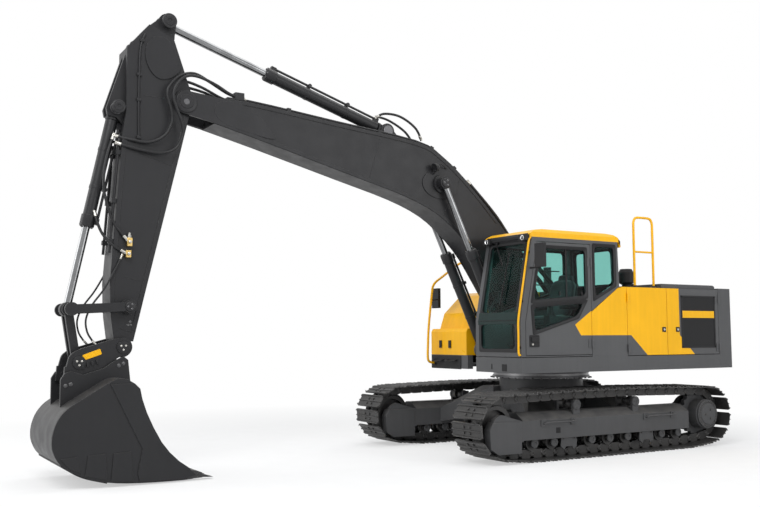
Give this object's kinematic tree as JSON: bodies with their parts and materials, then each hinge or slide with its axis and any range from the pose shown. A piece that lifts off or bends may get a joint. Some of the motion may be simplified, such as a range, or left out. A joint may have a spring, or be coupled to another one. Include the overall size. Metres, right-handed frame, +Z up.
{
  "type": "crawler excavator",
  "caption": "Crawler excavator with steel tracks, slewing upper body, glazed cab, one-piece boom, arm and bucket on a quick coupler, posed with the bucket at the ground.",
  "frame": {"origin": "ground point under the swing axis", "axes": "+X forward along the boom and tracks, +Y to the cab side, +Z up"},
  "size_m": [9.739, 3.09, 5.2927],
  "materials": {
    "charcoal_paint": "satin dark charcoal paint",
    "grey_paint": "satin mid-dark grey paint",
    "yellow_paint": "gloss warm yellow paint",
    "track_steel": "worn dark steel",
    "rod_chrome": "polished chrome",
    "pin_steel": "machined steel",
    "black_plastic": "moulded black plastic",
    "cab_glass": "green-tinted glass",
    "seat_fabric": "dark woven cover",
    "weight_iron": "painted cast iron, mid-dark grey",
    "engine_metal": "plain cast metal",
    "roof_plastic": "gloss warm yellow moulding"
  },
  "bodies": {
    "undercarriage": {"centre_frame": "charcoal_paint", "track_frames": "charcoal_paint", "drive_sprockets": "charcoal_paint", "front_idlers": "track_steel", "bottom_rollers": "track_steel", "top_rollers": "track_steel", "track_shoes_left": "track_steel", "track_shoes_right": "track_steel", "track_chains": "track_steel", "swing_bearing": "track_steel"},
    "upper": {"main_frame": "grey_paint", "frame_pins": "pin_steel", "counterweight": "weight_iron", "engine_block": "engine_metal", "body_frame": "charcoal_paint", "left_side_panel": "yellow_paint", "right_tank": "yellow_paint", "right_side_panel": "yellow_paint", "handrails": "yellow_paint", "pre_cleaner": "black_plastic", "exhaust_stack": "black_plastic", "cab_frame": "grey_paint", "cab_roof": "roof_plastic", "windscreen": "cab_glass", "cab_side_glass": "cab_glass", "cab_rear_glass": "cab_glass", "operator_seat": "seat_fabric", "control_consoles": "black_plastic", "cab_lamps": "black_plastic", "mirrors": "black_plastic"},
    "boom": {"boom": "charcoal_paint", "boom_pins": "pin_steel", "boom_pipes": "charcoal_paint"},
    "arm": {"arm": "charcoal_paint", "arm_pins": "pin_steel", "arm_pipes": "charcoal_paint"},
    "bucket": {"quick_coupler": "charcoal_paint", "bucket": "charcoal_paint", "bucket_teeth": "track_steel"},
    "boom_barrels": {"boom_barrels": "charcoal_paint"},
    "boom_rods": {"boom_rods": "rod_chrome"},
    "arm_barrel": {"arm_barrel": "charcoal_paint"},
    "arm_rod": {"arm_rod": "rod_chrome"},
    "bucket_barrel": {"bucket_barrel": "charcoal_paint"},
    "bucket_rod": {"bucket_rod": "rod_chrome"},
    "rocker": {"rocker_links": "charcoal_paint"},
    "h_link": {"h_link": "charcoal_paint"},
    "cab_door": {"cab_door": "grey_paint", "cab_door_glass": "cab_glass"},
    "left_front_door": {"left_front_door": "yellow_paint"},
    "left_rear_door": {"left_rear_door": "grey_paint"},
    "right_rear_door": {"right_rear_door": "grey_paint"},
    "engine_hood": {"engine_hood": "grey_paint"}
  },
  "joints": [
    {"name": "swing", "type": "hinge", "parent": "undercarriage", "child": "upper", "pos_m": [0, 0, 1.06], "axis": [0, 0, 1], "continuous": true},
    {"name": "boom_lift", "type": "hinge", "parent": "upper", "child": "boom", "pos_m": [0.2, 0, 1.85], "axis": [0, 1, 0], "range_deg": [-40, 73]},
    {"name": "arm_crowd", "type": "hinge", "parent": "boom", "child": "arm", "pos_m": [5.41756, 0, 4.24981], "axis": [0, -1, 0], "range_deg": [-40, 71]},
    {"name": "bucket_curl", "type": "hinge", "parent": "arm", "child": "bucket", "pos_m": [6.08731, 0, 1.43849], "axis": [0, -1, 0], "range_deg": [-97, 80]},
    {"name": "boom_barrel_tilt", "type": "hinge", "parent": "upper", "child": "boom_barrels", "pos_m": [0.8, 0, 1.35], "axis": [0, 1, 0], "range_deg": [-42, 76]},
    {"name": "boom_rod_slide", "type": "slide", "parent": "boom_barrels", "child": "boom_rods", "axis": [0.4328, 0, 0.9015], "range_m": [-0.83, 0.46]},
    {"name": "arm_barrel_tilt", "type": "hinge", "parent": "boom", "child": "arm_barrel", "pos_m": [2.62235, 0, 4.24549], "axis": [0, -1, 0], "range_deg": [-4, 6]},
    {"name": "arm_rod_slide", "type": "slide", "parent": "arm_barrel", "child": "arm_rod", "axis": [0.9539, 0, 0.3001], "range_m": [-1.01, 0.57]},
    {"name": "bucket_barrel_tilt", "type": "hinge", "parent": "arm", "child": "bucket_barrel", "pos_m": [6.18751, 0, 4.10436], "axis": [0, -1, 0], "range_deg": [-4, 4]},
    {"name": "bucket_rod_slide", "type": "slide", "parent": "bucket_barrel", "child": "bucket_rod", "axis": [0.2014, 0, -0.9795], "range_m": [-0.505, 0.612]},
    {"name": "rocker_turn", "type": "hinge", "parent": "arm", "child": "rocker", "pos_m": [6.03164, 0, 1.87918], "axis": [0, -1, 0], "range_deg": [-72, 60]},
    {"name": "h_link_turn", "type": "hinge", "parent": "rocker", "child": "h_link", "pos_m": [6.65179, 0, 1.84668], "axis": [0, -1, 0], "range_deg": [-43, 52]},
    {"name": "cab_door_swing", "type": "hinge", "parent": "upper", "child": "cab_door", "pos_m": [0.25, 1.335, 2], "axis": [0, 0, 1], "range_deg": [0, 150]},
    {"name": "left_front_door_swing", "type": "hinge", "parent": "upper", "child": "left_front_door", "pos_m": [-0.408, 1.335, 1.7], "axis": [0, 0, 1], "range_deg": [-105, 0]},
    {"name": "left_rear_door_swing", "type": "hinge", "parent": "upper", "child": "left_rear_door", "pos_m": [-2.232, 1.335, 1.7], "axis": [0, 0, 1], "range_deg": [0, 105]},
    {"name": "right_rear_door_swing", "type": "hinge", "parent": "upper", "child": "right_rear_door", "pos_m": [-2.232, -1.335, 1.7], "axis": [0, 0, -1], "range_deg": [0, 105]},
    {"name": "engine_hood_lift", "type": "hinge", "parent": "upper", "child": "engine_hood", "pos_m": [-1.133, 0, 2.279], "axis": [0, 1, 0], "range_deg": [0, 60]}
  ],
  "couplings": [
    {"joint": "boom_barrel_tilt", "follows": "boom_lift", "ratio": 1.015},
    {"joint": "boom_rod_slide", "follows": "boom_lift", "m_per_rad": -0.645},
    {"joint": "arm_barrel_tilt", "follows": "arm_crowd", "ratio": 0.075},
    {"joint": "arm_rod_slide", "follows": "arm_crowd", "m_per_rad": -0.8136},
    {"joint": "bucket_barrel_tilt", "follows": "bucket_curl", "ratio": 0.025},
    {"joint": "bucket_rod_slide", "follows": "bucket_curl", "m_per_rad": -0.361},
    {"joint": "rocker_turn", "follows": "bucket_curl", "ratio": 0.72},
    {"joint": "h_link_turn", "follows": "bucket_curl", "ratio": -0.52}
  ]
}
